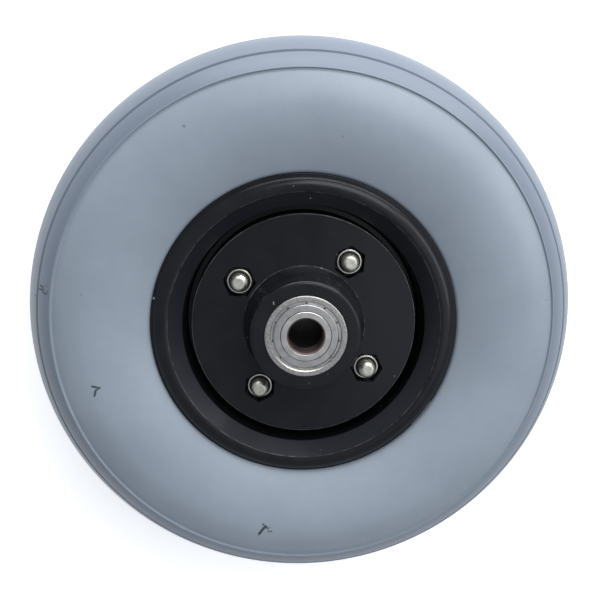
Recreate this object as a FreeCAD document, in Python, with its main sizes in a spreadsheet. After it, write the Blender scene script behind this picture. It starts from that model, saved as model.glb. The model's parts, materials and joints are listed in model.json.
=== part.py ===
import FreeCAD, Part
import math
import os
import re
import Sketcher

# Castor wheel of a wheelchair: a solid tyre on a rim of two like halves, bolted together
# over two shielded ball bearings. The axle line is Z, and the wheel's middle plane is XY.
# Sizes are millimetres. A height is measured along Z from the middle plane, and a
# height inside a bearing from the bearing's own middle plane.

SIZES = {
    # Tyre section
    "tyre_radius": 100.0,
    "tyre_half_width": 25.0,
    "widest_inset": 25.0,
    "shoulder_inset": 13.3,
    "shoulder_drop": 2.02,
    "shoulder_step": 0.85,
    "tread_groove_inset": 7.3,
    "tread_groove_width": 1.3,
    "tread_groove_depth": 0.7,
    "bead_rise": 0.2,
    "bead_round": 1.9,
    "tyre_gap": 0.05,
    # Rim half, outside the ring groove
    "flange_radius": 53.85,
    "tyre_seat_depth": 6.85,
    "barrel_inset": 9.0,
    "barrel_round": 2.5,
    "flange_slope": 1.9,
    "flange_edge": 1.3,
    "ledge_width": 1.1,
    "ledge_round": 0.35,
    "lip_step": 0.75,
    "lip_width": 5.1,
    "lip_rise": 1.25,
    "lip_round": 4.6,
    "dish_width": 4.65,
    "dish_depth": 4.2,
    # Rim half, ring groove and disc
    "ring_groove_width": 3.0,
    "ring_groove_depth": 10.0,
    "ring_groove_draft": 0.3,
    "ring_groove_round": 0.5,
    "disc_inset": 2.0,
    "disc_edge_round": 0.3,
    # Rim half, hub boss and bearing seat
    "boss_wall": 5.0,
    "boss_taper": 0.5,
    "boss_root_round": 2.2,
    "boss_top_round": 1.5,
    "bearing_stand_out": 0.4,
    "seat_chamfer": 0.3,
    "seat_gap": 0.01,
    "seat_ledge": 2.0,
    # Rim half, cored back with ribs and bolt bosses
    "hub_wall": 5.6,
    "disc_wall": 4.0,
    "core_rim_wall": 3.0,
    "core_draft": 0.25,
    "rib_count": 8,
    "rib_width": 2.6,
    "rib_root": 0.8,
    "bolt_boss_wall": 4.8,
    # Bolts and lock nuts
    "bolt_count": 4,
    "bolt_circle_inset": 1.85,
    "bolt_radius": 3.0,
    "bolt_stand_out": 4.7,
    "bolt_tip_chamfer": 1.0,
    "bolt_head_height": 4.0,
    "bolt_hole_gap": 0.2,
    "pocket_depth": 7.3,
    "pocket_gap": 0.2,
    "nut_height": 6.0,
    "nut_collar_height": 1.7,
    "nut_collar_wall": 0.5,
    "nut_collar_round": 0.5,
    "nut_mouth_gap": 0.85,
    "nut_lip": 0.75,
    "nut_shoulder": 0.4,
    "hex_corner_cut": 0.45,
    "hex_corner_angle": 30.0,
    "thread_gap": 0.02,
    "insert_headroom": 0.1,
    "insert_height": 1.5,
    "insert_gap": 0.05,
    "insert_round": 0.4,
    # Bearings
    "hub_half_width": 30.0,
    "bearing_width": 8.0,
    "bearing_radius": 14.0,
    "bearing_bore_radius": 6.0,
    "bore_chamfer": 0.6,
    "ring_edge_round": 0.4,
    "land_offset": 1.5,
    "inner_land_chamfer": 0.15,
    "race_ease": 0.049,
    "ball_count": 8,
    "ball_radius": 2.381,
    "ball_gap": 0.02,
    # Shields
    "shield_seat_step": 0.45,
    "shield_seat_depth": 1.1,
    "shield_mouth_chamfer": 0.4,
    "shield_wall": 0.3,
    "shield_inset": 0.25,
    "shield_inner_gap": 0.2,
    "shield_bead_inset": 0.6,
    "shield_bead_slope": 0.4,
    "shield_edge_gap": 0.03,
    "shield_notch_count": 11,
    "shield_notch_width": 0.5,
    "shield_notch_depth": 0.3,
    "shield_notch_angle": 26.4,
    # Ball cages
    "cage_wall": 0.35,
    "cage_half_width": 0.85,
    "cage_ball_gap": 0.08,
    "rivet_radius": 0.35,
    "rivet_head_radius": 0.6,
    "rivet_head_height": 0.3,
    # Spacer tube between the bearings
    "spacer_bore_gap": 0.2,
    "spacer_wall": 1.8,
    "spacer_chamfer": 0.3,
}

doc = FreeCAD.newDocument("CastorWheel")
sheet = doc.addObject("Spreadsheet::Sheet", "Sizes")
for row, (alias, size) in enumerate(SIZES.items(), start=1):
    sheet.set(f"A{row}", alias)
    sheet.set(f"B{row}", str(size))
    sheet.setAlias(f"B{row}", alias)
doc.recompute()

ON_X_AXIS = -1
ON_Y_AXIS = -2
START, END, CENTRE = range(1, 4)
OVERCUT = 0.2
SAME_PLACE = 0.001
LEAST_CHANGE = 0.001


def bound(formula):
    """The formula with every size's name pointing at its cell."""
    def cell(match):
        word = match.group()
        return f"Sizes.{word}" if word in SIZES else word
    return re.sub(r"[a-z_]+", cell, formula)


def value(formula):
    """The formula worked out from the sheet."""
    return float(sheet.evalExpression(bound(formula)))


def new_body(label):
    body = doc.addObject("PartDesign::Body", label)
    body.Label = label
    return body


def origin_feature(body, role):
    return next(item for item in body.Origin.OriginFeatures if item.Role == role)


def new_sketch(body, name, role, height=None):
    """An empty sketch on one of the body's own origin planes, raised by a formula if one is given."""
    sketch = body.newObject("Sketcher::SketchObject", f"{body.Label}_{name}")
    sketch.AttachmentSupport = [(origin_feature(body, role), "")]
    sketch.MapMode = "FlatFace"
    if height is not None:
        sketch.setExpression("AttachmentOffset.Base.z", bound(height))
    return sketch


def bind(sketch, constraint, formula):
    """Adds a constraint that carries a size, and ties that size to the sheet."""
    index = sketch.addConstraint(constraint)
    name = f"size_{index}"
    sketch.renameConstraint(index, name)
    sketch.setExpression(f"Constraints.{name}", bound(formula))


def fix_point(sketch, geometry, end, x, y):
    """Ties one point of the sketch to a place given by two formulas."""
    if x == "0":
        sketch.addConstraint(Sketcher.Constraint("PointOnObject", geometry, end, ON_Y_AXIS))
    else:
        bind(sketch, Sketcher.Constraint("DistanceX", -1, 1, geometry, end, value(x)), x)
    if y == "0":
        sketch.addConstraint(Sketcher.Constraint("PointOnObject", geometry, end, ON_X_AXIS))
    else:
        bind(sketch, Sketcher.Constraint("DistanceY", -1, 1, geometry, end, value(y)), y)


def corner(x, y, rounding=None, arc=None):
    """A corner of an outline. Its edge to the next corner is an arc that bulges to the left
    where arc is a formula, or to the right where arc is a formula after a minus sign."""
    return {"x": x, "y": y, "round": rounding, "arc": arc}


def arc_through(first, last, radius, to_left):
    """An arc between two points, and whether it runs from its own start to its own end."""
    middle = (first + last) * 0.5
    along = last - first
    left = FreeCAD.Vector(-along.y, along.x, 0).normalize()
    depth = math.sqrt(radius ** 2 - (along.Length / 2) ** 2)
    side = 1 if to_left else -1
    centre = middle - left * depth * side
    top = centre + left * radius * side
    forward = not to_left
    ends = (first, last) if forward else (last, first)
    return Part.Arc(ends[0], top, ends[1]), forward


def outline(sketch, corners):
    """Draws a closed outline whose corners, arcs and roundings are all tied to the sheet."""
    points = [FreeCAD.Vector(value(c["x"]), value(c["y"]), 0) for c in corners]
    count = len(corners)
    leave = list(points)
    arrive = list(points)
    for i, c in enumerate(corners):
        if c["round"]:
            back = (points[i - 1] - points[i]).normalize()
            ahead = (points[(i + 1) % count] - points[i]).normalize()
            reach = value(c["round"]) / math.tan(back.getAngle(ahead) / 2)
            arrive[i] = points[i] + back * reach
            leave[i] = points[i] + ahead * reach
    edges = []
    for i, c in enumerate(corners):
        first, last = leave[i], arrive[(i + 1) % count]
        if c["arc"]:
            to_left = not c["arc"].startswith("-")
            radius = c["arc"].removeprefix("-")
            curve, forward = arc_through(first, last, value(radius), to_left)
            index = sketch.addGeometry(curve)
            bind(sketch, Sketcher.Constraint("Radius", index, value(radius)), radius)
            edges.append((index, START, END) if forward else (index, END, START))
        else:
            edges.append((sketch.addGeometry(Part.LineSegment(first, last)), START, END))
    for i, c in enumerate(corners):
        before, after = edges[i - 1], edges[i]
        if not c["round"]:
            sketch.addConstraint(Sketcher.Constraint("Coincident", before[0], before[2], after[0], after[1]))
            fix_point(sketch, after[0], after[1], c["x"], c["y"])
            continue
        inward = ((arrive[i] + leave[i]) * 0.5 - points[i]).normalize()
        half_angle = (arrive[i] - points[i]).getAngle(leave[i] - points[i]) / 2
        radius = value(c["round"])
        nearest = points[i] + inward * (radius / math.sin(half_angle) - radius)
        turn = (points[i] - points[i - 1]).cross(points[(i + 1) % count] - points[i]).z
        ends = (arrive[i], leave[i]) if turn > 0 else (leave[i], arrive[i])
        index = sketch.addGeometry(Part.Arc(ends[0], nearest, ends[1]))
        arc_in, arc_out = (START, END) if turn > 0 else (END, START)
        sketch.addConstraint(Sketcher.Constraint("Tangent", before[0], before[2], index, arc_in))
        sketch.addConstraint(Sketcher.Constraint("Tangent", index, arc_out, after[0], after[1]))
        bind(sketch, Sketcher.Constraint("Radius", index, radius), c["round"])
        mark = sketch.addGeometry(Part.Point(points[i]), True)
        fix_point(sketch, mark, START, c["x"], c["y"])
        sketch.addConstraint(Sketcher.Constraint("PointOnObject", mark, START, before[0]))
        sketch.addConstraint(Sketcher.Constraint("PointOnObject", mark, START, after[0]))
    return sketch


def spin_axis(sketch, x):
    """A construction line along the sketch's Y direction, to turn a profile about."""
    low, high = FreeCAD.Vector(value(x), 0, 0), FreeCAD.Vector(value(x), 1, 0)
    index = sketch.addGeometry(Part.LineSegment(low, high), True)
    fix_point(sketch, index, START, x, "0")
    sketch.addConstraint(Sketcher.Constraint("Vertical", index))
    bind(sketch, Sketcher.Constraint("DistanceY", index, START, index, END, 1.0), "1")


def circle(sketch, x, y, radius):
    centre = FreeCAD.Vector(value(x), value(y), 0)
    index = sketch.addGeometry(Part.Circle(centre, FreeCAD.Vector(0, 0, 1), value(radius)))
    fix_point(sketch, index, CENTRE, x, y)
    bind(sketch, Sketcher.Constraint("Radius", index, value(radius)), radius)
    return sketch


def hexagon(sketch, x, flats):
    """A hexagon on the X axis with two of its flats square to that axis."""
    side, rise = f"({flats}) / 2", f"({flats}) / sqrt(12)"
    return outline(sketch, [
        corner(f"{x} + {side}", rise),
        corner(x, f"2 * {rise}"),
        corner(f"{x} - {side}", rise),
        corner(f"{x} - {side}", f"-({rise})"),
        corner(x, f"-2 * {rise}"),
        corner(f"{x} + {side}", f"-({rise})"),
    ])


def feature(body, kind, name):
    """A new feature of the body, and the volume that the body had before it."""
    doc.recompute()
    volume = body.Shape.Volume if body.Tip else 0.0
    return body.newObject(kind, f"{body.Label}_{name}"), volume


def settle(body, item, volume_before, grows):
    """Recomputes a finished feature and makes sure that it did add or remove material."""
    body.Tip = item
    doc.recompute()
    change = item.Shape.Volume - volume_before
    if (change if grows else -change) < LEAST_CHANGE:
        raise RuntimeError(f"{item.Name} changed nothing")
    return item


def turned(body, name, sketch, cut=False, axis="V_Axis"):
    kind = "PartDesign::Groove" if cut else "PartDesign::Revolution"
    item, before = feature(body, kind, name)
    item.Profile = (sketch, [""])
    item.ReferenceAxis = (sketch, [axis])
    item.Angle = 360
    return settle(body, item, before, not cut)


def pad(body, name, sketch, length):
    """A prism raised from the sketch towards its normal."""
    item, before = feature(body, "PartDesign::Pad", name)
    item.Profile = (sketch, [""])
    item.setExpression("Length", bound(length))
    return settle(body, item, before, True)


def pocket(body, name, sketch, length):
    """A prism cut from the sketch towards its normal."""
    item, before = feature(body, "PartDesign::Pocket", name)
    item.Profile = (sketch, [""])
    item.Reversed = True
    item.setExpression("Length", bound(length))
    return settle(body, item, before, False)


def sphere(body, name, radius, cut=False):
    """A ball centred on the ball circle, on the X axis."""
    kind = "PartDesign::SubtractiveSphere" if cut else "PartDesign::AdditiveSphere"
    item, before = feature(body, kind, name)
    item.setExpression("Radius", bound(radius))
    item.setExpression("Placement.Base.x", bound(BALL_CIRCLE))
    return settle(body, item, before, not cut)


def ring_of(body, name, originals, count, grows=True):
    """Repeats features evenly about Z."""
    item, before = feature(body, "PartDesign::PolarPattern", name)
    item.Originals = originals
    item.Axis = (origin_feature(body, "Z_Axis"), [""])
    item.Angle = 360
    item.setExpression("Occurrences", bound(count))
    return settle(body, item, before, grows)


def mirrored(body, name, originals, grows):
    """Repeats features on the other side of the body's XY plane."""
    item, before = feature(body, "PartDesign::Mirrored", name)
    item.Originals = originals
    item.MirrorPlane = (origin_feature(body, "XY_Plane"), [""])
    return settle(body, item, before, grows)


def rounded_circles(body, name, radius, rounding, heights):
    """Rounds the circular edges of one radius that lie at the given heights."""
    doc.recompute()
    names = []
    for index, edge in enumerate(body.Shape.Edges, start=1):
        if not isinstance(edge.Curve, Part.Circle):
            continue
        near_radius = abs(edge.Curve.Radius - value(radius)) < SAME_PLACE
        near_height = any(abs(edge.Curve.Center.z - value(h)) < SAME_PLACE for h in heights)
        if near_radius and near_height:
            names.append(f"Edge{index}")
    if len(names) != len(heights):
        raise RuntimeError(f"{body.Label}: {len(names)} edges to round, not {len(heights)}")
    base = body.Tip
    item = body.newObject("PartDesign::Fillet", f"{body.Label}_{name}")
    item.Base = (base, names)
    item.setExpression("Radius", bound(rounding))
    body.Tip = item
    doc.recompute()
    return item


def closed_over(upper, race):
    """A ring's section: its upper corners, the same corners mirrored below, and the race arc."""
    lower = [corner(c["x"], f"-({c['y']})", c["round"]) for c in reversed(upper)]
    first, last = upper[0], lower[-1]
    return upper + lower[:-1] + [corner(last["x"], last["y"], arc=race)]


def arc_radius(run, rise):
    """The radius of an arc that starts level and has climbed by rise after run."""
    return f"(({run})^2 + ({rise})^2) / (2 * ({rise}))"


# Heights and radii that several pieces share, as formulas of the sizes
SHOULDER_RADIUS = "(tyre_radius - shoulder_inset)"
SHOULDER_TOP = "(tyre_half_width - shoulder_drop)"
SHOULDER_FOOT = f"({SHOULDER_TOP} - shoulder_step)"
WIDEST_RADIUS = "(tyre_radius - widest_inset)"
TREAD_ROUND = f"({arc_radius(SHOULDER_TOP, 'shoulder_inset')})"
BARREL_HEIGHT = "(tyre_half_width - barrel_inset)"
FLANGE_HEIGHT = f"({BARREL_HEIGHT} + flange_slope)"
LEDGE_HEIGHT = f"({FLANGE_HEIGHT} + flange_edge)"
LIP_EDGE_HEIGHT = f"({LEDGE_HEIGHT} + lip_step)"
LIP_FOOT_HEIGHT = f"({LIP_EDGE_HEIGHT} + lip_rise)"
GROOVE_MOUTH_HEIGHT = f"({LIP_FOOT_HEIGHT} - dish_depth)"
DISC_HEIGHT = f"({GROOVE_MOUTH_HEIGHT} - disc_inset)"
GROOVE_FLOOR_HEIGHT = f"({DISC_HEIGHT} - ring_groove_depth)"
CORE_HEIGHT = f"({DISC_HEIGHT} - disc_wall)"
BARREL_RADIUS = "(flange_radius - tyre_seat_depth)"
LIP_RADIUS = "(flange_radius - ledge_width)"
LIP_FOOT_RADIUS = f"({LIP_RADIUS} - lip_width)"
GROOVE_OUTER_RADIUS = f"({LIP_FOOT_RADIUS} - dish_width)"
DISC_RADIUS = f"({GROOVE_OUTER_RADIUS} - ring_groove_width)"
CORE_OUTER_RADIUS = f"({DISC_RADIUS} - core_rim_wall)"
BOSS_TOP_RADIUS = "(bearing_radius + boss_wall)"
BOSS_ROOT_RADIUS = f"({BOSS_TOP_RADIUS} + boss_taper)"
SHOULDER_BORE_RADIUS = "(bearing_radius - seat_ledge)"
CORE_INNER_RADIUS = f"({SHOULDER_BORE_RADIUS} + hub_wall)"
BOLT_CIRCLE = f"(({BOSS_ROOT_RADIUS} + {DISC_RADIUS}) / 2 - bolt_circle_inset)"
NUT_SEAT = f"({DISC_HEIGHT} - pocket_depth)"
NUT_TOP = f"({NUT_SEAT} + nut_height)"
NUT_HEX_HEIGHT = "(nut_height - nut_collar_height)"
BOLT_TIP = f"({NUT_TOP} + bolt_stand_out)"
HEAD_END = f"({NUT_SEAT} + bolt_head_height)"
NUT_BORE = "(bolt_radius + thread_gap)"
NUT_MOUTH_RADIUS = "(bolt_radius + nut_mouth_gap)"
NUT_COLLAR_RADIUS = f"({NUT_MOUTH_RADIUS} + nut_lip)"
NUT_CHAMBER_RADIUS = f"({NUT_COLLAR_RADIUS} - nut_collar_wall)"
NUT_CHAMBER_ROOF = f"({NUT_TOP} - nut_collar_wall)"
INSERT_TOP = f"({NUT_CHAMBER_ROOF} - insert_headroom)"
INSERT_FLOOR = f"({INSERT_TOP} - insert_height)"
HEX_FLATS = f"(2 * ({NUT_COLLAR_RADIUS} + nut_shoulder))"
POCKET_FLATS = f"({HEX_FLATS} + 2 * pocket_gap)"
BEARING_CENTRE = "hub_half_width - bearing_width / 2"
SEAT_FLOOR = "(hub_half_width - bearing_width)"
BOSS_HEIGHT = "(hub_half_width - bearing_stand_out)"
RING_FACE = "bearing_width / 2"
BALL_CIRCLE = "((bearing_radius + bearing_bore_radius) / 2)"
INNER_LAND_RADIUS = f"({BALL_CIRCLE} - land_offset)"
OUTER_LAND_RADIUS = f"({BALL_CIRCLE} + land_offset)"
RACE_ROUND = "(ball_radius + race_ease)"
RACE_REACH = "(ball_radius + ball_gap)"
SHIELD_SEAT_RADIUS = f"({OUTER_LAND_RADIUS} + shield_seat_step)"
SHIELD_SEAT = f"({RING_FACE} - shield_seat_depth)"
SHIELD_BEAD_RADIUS = f"({OUTER_LAND_RADIUS} - shield_bead_inset)"
SPACER_BORE_RADIUS = "(bearing_bore_radius + spacer_bore_gap)"
SPACER_RADIUS = f"({SPACER_BORE_RADIUS} + spacer_wall)"


def make_tyre():
    """Solid tyre: a tread band that stands proud of the sidewalls, and a bead clamped by the rim."""
    body = new_body("tyre")
    bore = f"{BARREL_RADIUS} + tyre_gap"
    mouth = "flange_radius + tyre_gap"
    bead_height = f"({LEDGE_HEIGHT} + bead_rise)"
    outer_side = arc_radius(f"{SHOULDER_RADIUS} - {WIDEST_RADIUS}", f"tyre_half_width - {SHOULDER_FOOT}")
    inner_side = arc_radius(f"{WIDEST_RADIUS} - ({mouth})", f"tyre_half_width - {bead_height}")
    upper = [
        corner("tyre_radius", "0", arc="-" + TREAD_ROUND),
        corner(SHOULDER_RADIUS, SHOULDER_TOP),
        corner(SHOULDER_RADIUS, SHOULDER_FOOT, arc="-" + outer_side),
        corner(WIDEST_RADIUS, "tyre_half_width", arc="-" + inner_side),
        corner(mouth, bead_height),
        corner(mouth, f"{FLANGE_HEIGHT} - tyre_gap"),
        corner(bore, f"{BARREL_HEIGHT} - tyre_gap", "barrel_round"),
    ]
    lower = [
        corner(bore, f"-({BARREL_HEIGHT} - tyre_gap)", "barrel_round"),
        corner(mouth, f"-({FLANGE_HEIGHT} - tyre_gap)"),
        corner(mouth, f"-{bead_height}", arc="-" + inner_side),
        corner(WIDEST_RADIUS, "-tyre_half_width", arc="-" + outer_side),
        corner(SHOULDER_RADIUS, f"-{SHOULDER_FOOT}"),
        corner(SHOULDER_RADIUS, f"-{SHOULDER_TOP}", arc="-" + TREAD_ROUND),
    ]
    turned(body, "section", outline(new_sketch(body, "profile", "XZ_Plane"), upper + lower))
    rounded_circles(body, "bead_edges", mouth, "bead_round", [bead_height, f"-{bead_height}"])

    groove_radius = "(tyre_radius - tread_groove_inset)"
    inward = f"(1 - tread_groove_inset / {TREAD_ROUND})"
    downward = f"sqrt(1 - {inward}^2)"
    groove_height = f"({TREAD_ROUND} * {downward})"
    half_width = "tread_groove_width / 2"
    notch = outline(new_sketch(body, "groove_profile", "XZ_Plane"), [
        corner(f"{groove_radius} + {downward} * {half_width} + {inward} * {OVERCUT}",
               f"{groove_height} - {inward} * {half_width} + {downward} * {OVERCUT}"),
        corner(f"{groove_radius} - {downward} * {half_width} + {inward} * {OVERCUT}",
               f"{groove_height} + {inward} * {half_width} + {downward} * {OVERCUT}"),
        corner(f"{groove_radius} - {inward} * tread_groove_depth",
               f"{groove_height} - {downward} * tread_groove_depth"),
    ])
    groove = turned(body, "tread_groove", notch, cut=True)
    mirrored(body, "tread_groove_behind", [groove], grows=False)
    return body


def make_rim_half(label):
    """Moulded rim half: hub boss, disc, ring groove, dished flange and lip in front, and a cored
    back with ribs and bolt bosses that meets the other half at the middle plane."""
    body = new_body(label)
    groove_outer = f"{GROOVE_OUTER_RADIUS} - ring_groove_draft"
    groove_inner = f"{DISC_RADIUS} + ring_groove_draft"
    seat = "bearing_radius + seat_gap"
    section = outline(new_sketch(body, "profile", "XZ_Plane"), [
        corner(SHOULDER_BORE_RADIUS, "0"),
        corner(CORE_INNER_RADIUS, "0"),
        corner(f"{CORE_INNER_RADIUS} + core_draft", CORE_HEIGHT),
        corner(f"{CORE_OUTER_RADIUS} - core_draft", CORE_HEIGHT),
        corner(CORE_OUTER_RADIUS, "0"),
        corner(BARREL_RADIUS, "0"),
        corner(BARREL_RADIUS, BARREL_HEIGHT, "barrel_round"),
        corner("flange_radius", FLANGE_HEIGHT),
        corner("flange_radius", LEDGE_HEIGHT, "ledge_round"),
        corner(LIP_RADIUS, LEDGE_HEIGHT),
        corner(LIP_RADIUS, LIP_EDGE_HEIGHT, arc="-lip_round"),
        corner(LIP_FOOT_RADIUS, LIP_FOOT_HEIGHT),
        corner(GROOVE_OUTER_RADIUS, GROOVE_MOUTH_HEIGHT, "ring_groove_round"),
        corner(groove_outer, GROOVE_FLOOR_HEIGHT, "ring_groove_round"),
        corner(groove_inner, GROOVE_FLOOR_HEIGHT, "ring_groove_round"),
        corner(DISC_RADIUS, DISC_HEIGHT, "disc_edge_round"),
        corner(BOSS_ROOT_RADIUS, DISC_HEIGHT, "boss_root_round"),
        corner(BOSS_TOP_RADIUS, BOSS_HEIGHT, "boss_top_round"),
        corner(f"{seat} + seat_chamfer", BOSS_HEIGHT),
        corner(seat, f"{BOSS_HEIGHT} - seat_chamfer"),
        corner(seat, SEAT_FLOOR),
        corner(SHOULDER_BORE_RADIUS, SEAT_FLOOR),
    ])
    turned(body, "section", section)

    rib_sketch = outline(new_sketch(body, "rib_outline", "XY_Plane"), [
        corner(f"{CORE_INNER_RADIUS} - rib_root", "-rib_width / 2"),
        corner(f"{CORE_OUTER_RADIUS} + rib_root", "-rib_width / 2"),
        corner(f"{CORE_OUTER_RADIUS} + rib_root", "rib_width / 2"),
        corner(f"{CORE_INNER_RADIUS} - rib_root", "rib_width / 2"),
    ])
    rib = pad(body, "rib", rib_sketch, f"{CORE_HEIGHT} + rib_root")
    ring_of(body, "ribs", [rib], "rib_count")

    hole_radius = "bolt_radius + bolt_hole_gap"
    boss_sketch = circle(new_sketch(body, "boss_outline", "XY_Plane"), BOLT_CIRCLE, "0",
                         f"{hole_radius} + bolt_boss_wall")
    boss = pad(body, "bolt_boss", boss_sketch, f"{CORE_HEIGHT} + rib_root")
    ring_of(body, "bolt_bosses", [boss], "bolt_count")

    hole_sketch = circle(new_sketch(body, "hole_outline", "XY_Plane"), BOLT_CIRCLE, "0", hole_radius)
    hole = pocket(body, "bolt_hole", hole_sketch, NUT_SEAT)
    ring_of(body, "bolt_holes", [hole], "bolt_count", grows=False)

    hex_sketch = hexagon(new_sketch(body, "hex_outline", "XY_Plane", NUT_SEAT), BOLT_CIRCLE, POCKET_FLATS)
    hex_pocket = pocket(body, "hex_pocket", hex_sketch, f"pocket_depth + {OVERCUT}")
    ring_of(body, "hex_pockets", [hex_pocket], "bolt_count", grows=False)
    return body


def ring_profile(body, name, corners):
    """An outline in the XZ plane whose corners are given from a bolt's own axis."""
    sketch = new_sketch(body, name, "XZ_Plane")
    spin_axis(sketch, BOLT_CIRCLE)
    moved = [corner(f"{BOLT_CIRCLE} + {c['x']}", c["y"], c["round"]) for c in corners]
    return outline(sketch, moved)


def trimmed_hexagon(body, name, top):
    """The cutter that turns the corners off a hexagon's outer end, as on a bolt head or a nut."""
    reach = f"{HEX_FLATS} / sqrt(3)"
    inner = f"{HEX_FLATS} / 2 - hex_corner_cut"
    outward = -1 if top.startswith("-") else 1
    slope = f"({reach} - ({inner})) * tan(hex_corner_angle)"
    return turned(body, name, ring_profile(body, f"{name}_profile", [
        corner(inner, f"{top} + {outward} * {OVERCUT}"),
        corner(f"{reach} + {OVERCUT}", f"{top} + {outward} * {OVERCUT}"),
        corner(f"{reach} + {OVERCUT}", f"{top} - {outward} * {slope}"),
        corner(inner, top),
    ]), cut=True, axis="Axis0")


def make_bolts():
    """Hexagon bolts with their heads in the pockets behind and their chamfered ends in front."""
    body = new_body("bolts")
    shank = turned(body, "shank", ring_profile(body, "shank_profile", [
        corner("0", f"-{NUT_SEAT}"),
        corner("bolt_radius", f"-{NUT_SEAT}"),
        corner("bolt_radius", f"{BOLT_TIP} - bolt_tip_chamfer"),
        corner("bolt_radius - bolt_tip_chamfer", BOLT_TIP),
        corner("0", BOLT_TIP),
    ]), axis="Axis0")
    head_sketch = new_sketch(body, "head_outline", "XY_Plane", f"-{HEAD_END}")
    head = pad(body, "head", hexagon(head_sketch, BOLT_CIRCLE, HEX_FLATS), "bolt_head_height")
    trim = trimmed_hexagon(body, "head_corners", f"-{HEAD_END}")
    ring_of(body, "set", [shank, head, trim], "bolt_count")
    return body


def make_nuts():
    """Lock nuts: a hexagon with a round collar rolled in over the locking insert."""
    body = new_body("nuts")
    hex_sketch = hexagon(new_sketch(body, "hex_outline", "XY_Plane", NUT_SEAT), BOLT_CIRCLE, HEX_FLATS)
    block = pad(body, "hexagon", hex_sketch, NUT_HEX_HEIGHT)
    trim = trimmed_hexagon(body, "hex_corners", f"({NUT_SEAT} + {NUT_HEX_HEIGHT})")
    collar = turned(body, "collar", ring_profile(body, "collar_profile", [
        corner(NUT_BORE, NUT_SEAT),
        corner(NUT_COLLAR_RADIUS, NUT_SEAT),
        corner(NUT_COLLAR_RADIUS, NUT_TOP, "nut_collar_round"),
        corner(NUT_BORE, NUT_TOP),
    ]), axis="Axis0")
    bore = turned(body, "bore", ring_profile(body, "bore_profile", [
        corner("0", f"{NUT_SEAT} - {OVERCUT}"),
        corner(NUT_BORE, f"{NUT_SEAT} - {OVERCUT}"),
        corner(NUT_BORE, INSERT_FLOOR),
        corner(NUT_CHAMBER_RADIUS, INSERT_FLOOR),
        corner(NUT_CHAMBER_RADIUS, NUT_CHAMBER_ROOF),
        corner(NUT_MOUTH_RADIUS, NUT_CHAMBER_ROOF),
        corner(NUT_MOUTH_RADIUS, f"{NUT_TOP} + {OVERCUT}"),
        corner("0", f"{NUT_TOP} + {OVERCUT}"),
    ]), cut=True, axis="Axis0")
    ring_of(body, "set", [block, trim, collar, bore], "bolt_count")
    return body


def make_nut_inserts():
    """Plastic locking rings inside the nuts' collars."""
    body = new_body("nut_inserts")
    outside = f"{NUT_CHAMBER_RADIUS} - insert_gap"
    ring = turned(body, "ring", ring_profile(body, "ring_profile", [
        corner(NUT_BORE, INSERT_FLOOR),
        corner(outside, INSERT_FLOOR),
        corner(outside, INSERT_TOP),
        corner(NUT_BORE, INSERT_TOP, "insert_round"),
    ]), axis="Axis0")
    ring_of(body, "set", [ring], "bolt_count")
    return body


def make_spacer():
    """Tube that holds the two inner rings apart when the axle bolt is tightened."""
    body = new_body("bearing_spacer")
    end = SEAT_FLOOR
    bore_chamfer = f"{SPACER_BORE_RADIUS} + spacer_chamfer"
    outer_chamfer = f"{SPACER_RADIUS} - spacer_chamfer"
    turned(body, "tube", outline(new_sketch(body, "profile", "XZ_Plane"), [
        corner(bore_chamfer, f"-{end}"),
        corner(outer_chamfer, f"-{end}"),
        corner(SPACER_RADIUS, f"-({end} - spacer_chamfer)"),
        corner(SPACER_RADIUS, f"{end} - spacer_chamfer"),
        corner(outer_chamfer, end),
        corner(bore_chamfer, end),
        corner(SPACER_BORE_RADIUS, f"{end} - spacer_chamfer"),
        corner(SPACER_BORE_RADIUS, f"-({end} - spacer_chamfer)"),
    ]))
    return body


def make_inner_ring(side):
    """Inner ring: axle bore, ball race and the two lands that the shields run close to."""
    body = new_body(f"inner_ring_{side}")
    race_centre = f"({BALL_CIRCLE} - {RACE_REACH} + {RACE_ROUND})"
    race_edge = f"sqrt({RACE_ROUND}^2 - ({race_centre} - {INNER_LAND_RADIUS})^2)"
    upper = [
        corner(INNER_LAND_RADIUS, race_edge),
        corner(INNER_LAND_RADIUS, f"{RING_FACE} - inner_land_chamfer"),
        corner(f"{INNER_LAND_RADIUS} - inner_land_chamfer", RING_FACE),
        corner("bearing_bore_radius + bore_chamfer", RING_FACE),
        corner("bearing_bore_radius", f"{RING_FACE} - bore_chamfer"),
    ]
    section = closed_over(upper, RACE_ROUND)
    turned(body, "ring", outline(new_sketch(body, "profile", "XZ_Plane"), section))
    return body


def make_outer_ring(side):
    """Outer ring: ball race, and at each end a ledge and a chamfered mouth for a shield."""
    body = new_body(f"outer_ring_{side}")
    race_centre = f"({BALL_CIRCLE} + {RACE_REACH} - {RACE_ROUND})"
    race_edge = f"sqrt({RACE_ROUND}^2 - ({OUTER_LAND_RADIUS} - {race_centre})^2)"
    upper = [
        corner(OUTER_LAND_RADIUS, race_edge),
        corner(OUTER_LAND_RADIUS, SHIELD_SEAT),
        corner(SHIELD_SEAT_RADIUS, SHIELD_SEAT),
        corner(SHIELD_SEAT_RADIUS, f"{RING_FACE} - shield_mouth_chamfer"),
        corner(f"{SHIELD_SEAT_RADIUS} + shield_mouth_chamfer", RING_FACE),
        corner("bearing_radius", RING_FACE, "ring_edge_round"),
    ]
    section = closed_over(upper, "-" + RACE_ROUND)
    turned(body, "ring", outline(new_sketch(body, "profile", "XZ_Plane"), section))
    return body


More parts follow.
